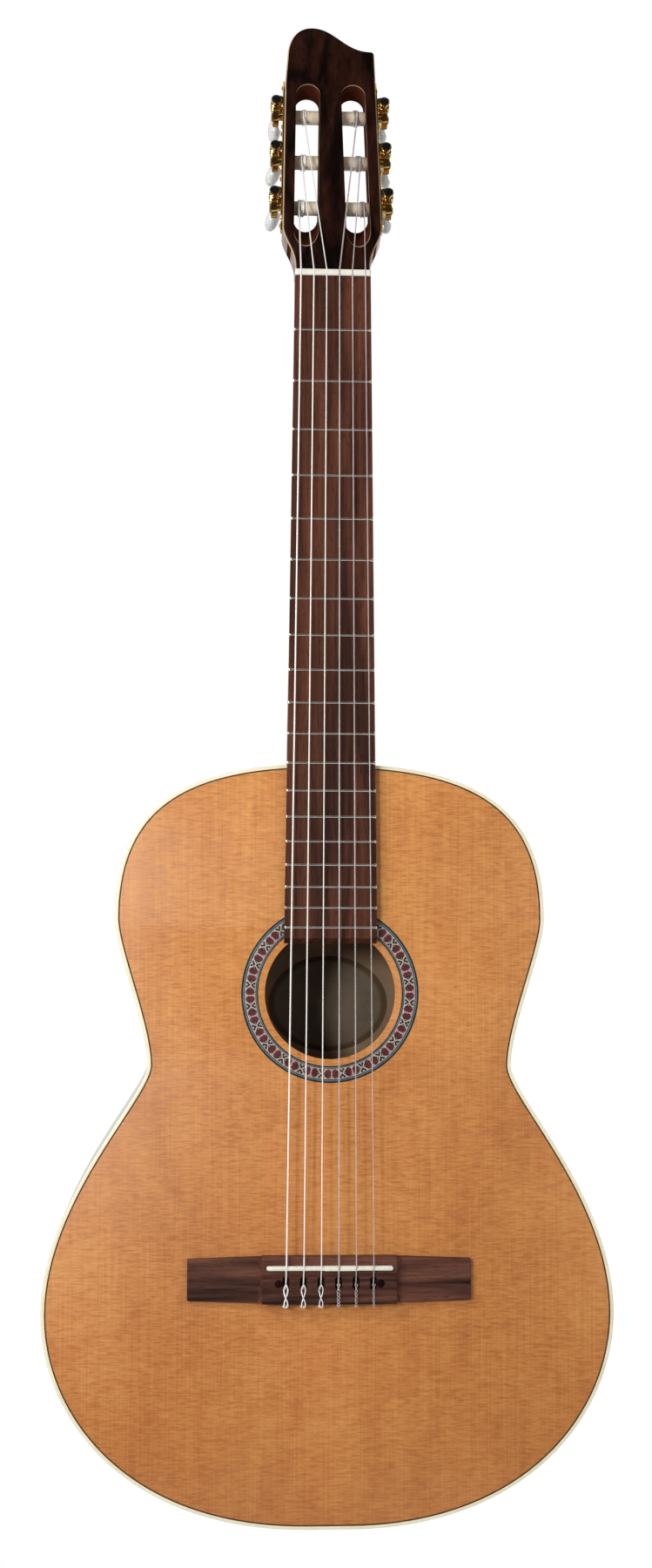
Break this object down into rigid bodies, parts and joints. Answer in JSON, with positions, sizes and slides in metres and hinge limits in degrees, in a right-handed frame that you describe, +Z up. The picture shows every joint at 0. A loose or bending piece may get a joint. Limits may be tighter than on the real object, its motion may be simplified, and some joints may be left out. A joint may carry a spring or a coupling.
{
  "type": "classical guitar",
  "caption": "Nylon-string classical guitar with cedar top, dark ribs, slotted head, mosaic rosette and geared tuners that turn the string rollers.",
  "frame": {"origin": "middle of the body's tail: on the centre line, on the tail strip's outer face, halfway between the soundboard and the back there", "axes": "+Z runs up the body and neck to the head; -Y is the side that the soundboard faces; +X is the treble side"},
  "size_m": [0.376, 0.111, 1.012],
  "materials": {
    "cedar_top": "thin high-gloss lacquer over straight-grained cedar with fine cross silk",
    "rosewood_body": "gloss-lacquered dark rosewood with streaky grain",
    "rosewood_bridge": "oiled rosewood, satin",
    "rosewood_head": "very dark gloss-lacquered rosewood veneer with reddish streaks",
    "rosewood_board": "oiled dark rosewood with grain along the neck, satin",
    "mahogany_neck": "red-brown mahogany under satin lacquer",
    "spruce_brace": "bare planed spruce",
    "cream_binding": "cream binding under the body's gloss lacquer",
    "rosette_mosaic": "wood mosaic ring under lacquer, dark red, grey, pale blue and black",
    "bone": "polished bone, off-white",
    "roller_bone": "bone-coloured sleeve with darker stains",
    "gold_plate": "gold-plated steel, polished",
    "brass_gear": "gold-plated brass with cut teeth",
    "pearl_button": "white pearloid, glossy with soft swirls",
    "nylon_clear": "clear nylon monofilament",
    "wound_string": "silvered wire wound on nylon floss"
  },
  "bodies": {
    "root": {"soundboard": "cedar_top", "rosette": "rosette_mosaic", "binding_front": "cream_binding", "binding_back": "cream_binding", "back_plate": "rosewood_body", "rib_treble": "rosewood_body", "rib_bass": "rosewood_body", "tail_graft": "cream_binding", "lining_front": "spruce_brace", "neck_block": "mahogany_neck", "tail_block": "mahogany_neck", "harmonic_bar_lower": "spruce_brace", "harmonic_bar_upper": "spruce_brace", "fan_brace_1": "spruce_brace", "fan_brace_2": "spruce_brace", "fan_brace_3": "spruce_brace", "fan_brace_4": "spruce_brace", "fan_brace_5": "spruce_brace", "back_brace_1": "spruce_brace", "back_brace_2": "spruce_brace", "back_brace_3": "spruce_brace", "neck": "mahogany_neck", "fingerboard": "rosewood_board", "nut": "bone", "bridge": "rosewood_bridge", "saddle": "bone", "headstock": "mahogany_neck", "head_veneer": "rosewood_head", "tuner_plate_treble": "gold_plate", "tuner_plate_bass": "gold_plate", "string_1": "nylon_clear", "string_2": "nylon_clear", "string_3": "nylon_clear", "string_4": "wound_string", "string_5": "wound_string", "string_6": "wound_string"},
    "key_1": {"worm_1": "gold_plate", "button_1": "pearl_button"},
    "post_1": {"roller_1": "roller_bone", "gear_1": "brass_gear"},
    "key_2": {"worm_2": "gold_plate", "button_2": "pearl_button"},
    "post_2": {"roller_2": "roller_bone", "gear_2": "brass_gear"},
    "key_3": {"worm_3": "gold_plate", "button_3": "pearl_button"},
    "post_3": {"roller_3": "roller_bone", "gear_3": "brass_gear"},
    "key_4": {"worm_4": "gold_plate", "button_4": "pearl_button"},
    "post_4": {"roller_4": "roller_bone", "gear_4": "brass_gear"},
    "key_5": {"worm_5": "gold_plate", "button_5": "pearl_button"},
    "post_5": {"roller_5": "roller_bone", "gear_5": "brass_gear"},
    "key_6": {"worm_6": "gold_plate", "button_6": "pearl_button"},
    "post_6": {"roller_6": "roller_bone", "gear_6": "brass_gear"}
  },
  "joints": [
    {"name": "key_turn_1", "type": "hinge", "parent": "root", "child": "key_1", "pos_m": [0.03877, -0.02839, 0.8869], "axis": [0, 0.9703, -0.2419], "continuous": true},
    {"name": "post_turn_1", "type": "hinge", "parent": "root", "child": "post_1", "pos_m": [0, -0.03057, 0.87817], "axis": [1, 0, 0], "continuous": true},
    {"name": "key_turn_2", "type": "hinge", "parent": "root", "child": "key_2", "pos_m": [0.03801, -0.0199, 0.92096], "axis": [0, 0.9703, -0.2419], "continuous": true},
    {"name": "post_turn_2", "type": "hinge", "parent": "root", "child": "post_2", "pos_m": [0, -0.02208, 0.91223], "axis": [1, 0, 0], "continuous": true},
    {"name": "key_turn_3", "type": "hinge", "parent": "root", "child": "key_3", "pos_m": [0.03725, -0.01141, 0.95502], "axis": [0, 0.9703, -0.2419], "continuous": true},
    {"name": "post_turn_3", "type": "hinge", "parent": "root", "child": "post_3", "pos_m": [0, -0.01359, 0.94628], "axis": [1, 0, 0], "continuous": true},
    {"name": "key_turn_4", "type": "hinge", "parent": "root", "child": "key_4", "pos_m": [-0.03725, -0.01141, 0.95502], "axis": [0, 0.9703, -0.2419], "continuous": true},
    {"name": "post_turn_4", "type": "hinge", "parent": "root", "child": "post_4", "pos_m": [0, -0.01359, 0.94628], "axis": [1, 0, 0], "continuous": true},
    {"name": "key_turn_5", "type": "hinge", "parent": "root", "child": "key_5", "pos_m": [-0.03801, -0.0199, 0.92096], "axis": [0, 0.9703, -0.2419], "continuous": true},
    {"name": "post_turn_5", "type": "hinge", "parent": "root", "child": "post_5", "pos_m": [0, -0.02208, 0.91223], "axis": [1, 0, 0], "continuous": true},
    {"name": "key_turn_6", "type": "hinge", "parent": "root", "child": "key_6", "pos_m": [-0.03877, -0.02839, 0.8869], "axis": [0, 0.9703, -0.2419], "continuous": true},
    {"name": "post_turn_6", "type": "hinge", "parent": "root", "child": "post_6", "pos_m": [0, -0.03057, 0.87817], "axis": [1, 0, 0], "continuous": true}
  ],
  "couplings": [
    {"joint": "post_turn_1", "follows": "key_turn_1", "ratio": 0.071429},
    {"joint": "post_turn_2", "follows": "key_turn_2", "ratio": 0.071429},
    {"joint": "post_turn_3", "follows": "key_turn_3", "ratio": 0.071429},
    {"joint": "post_turn_4", "follows": "key_turn_4", "ratio": 0.071429},
    {"joint": "post_turn_5", "follows": "key_turn_5", "ratio": 0.071429},
    {"joint": "post_turn_6", "follows": "key_turn_6", "ratio": 0.071429}
  ]
}
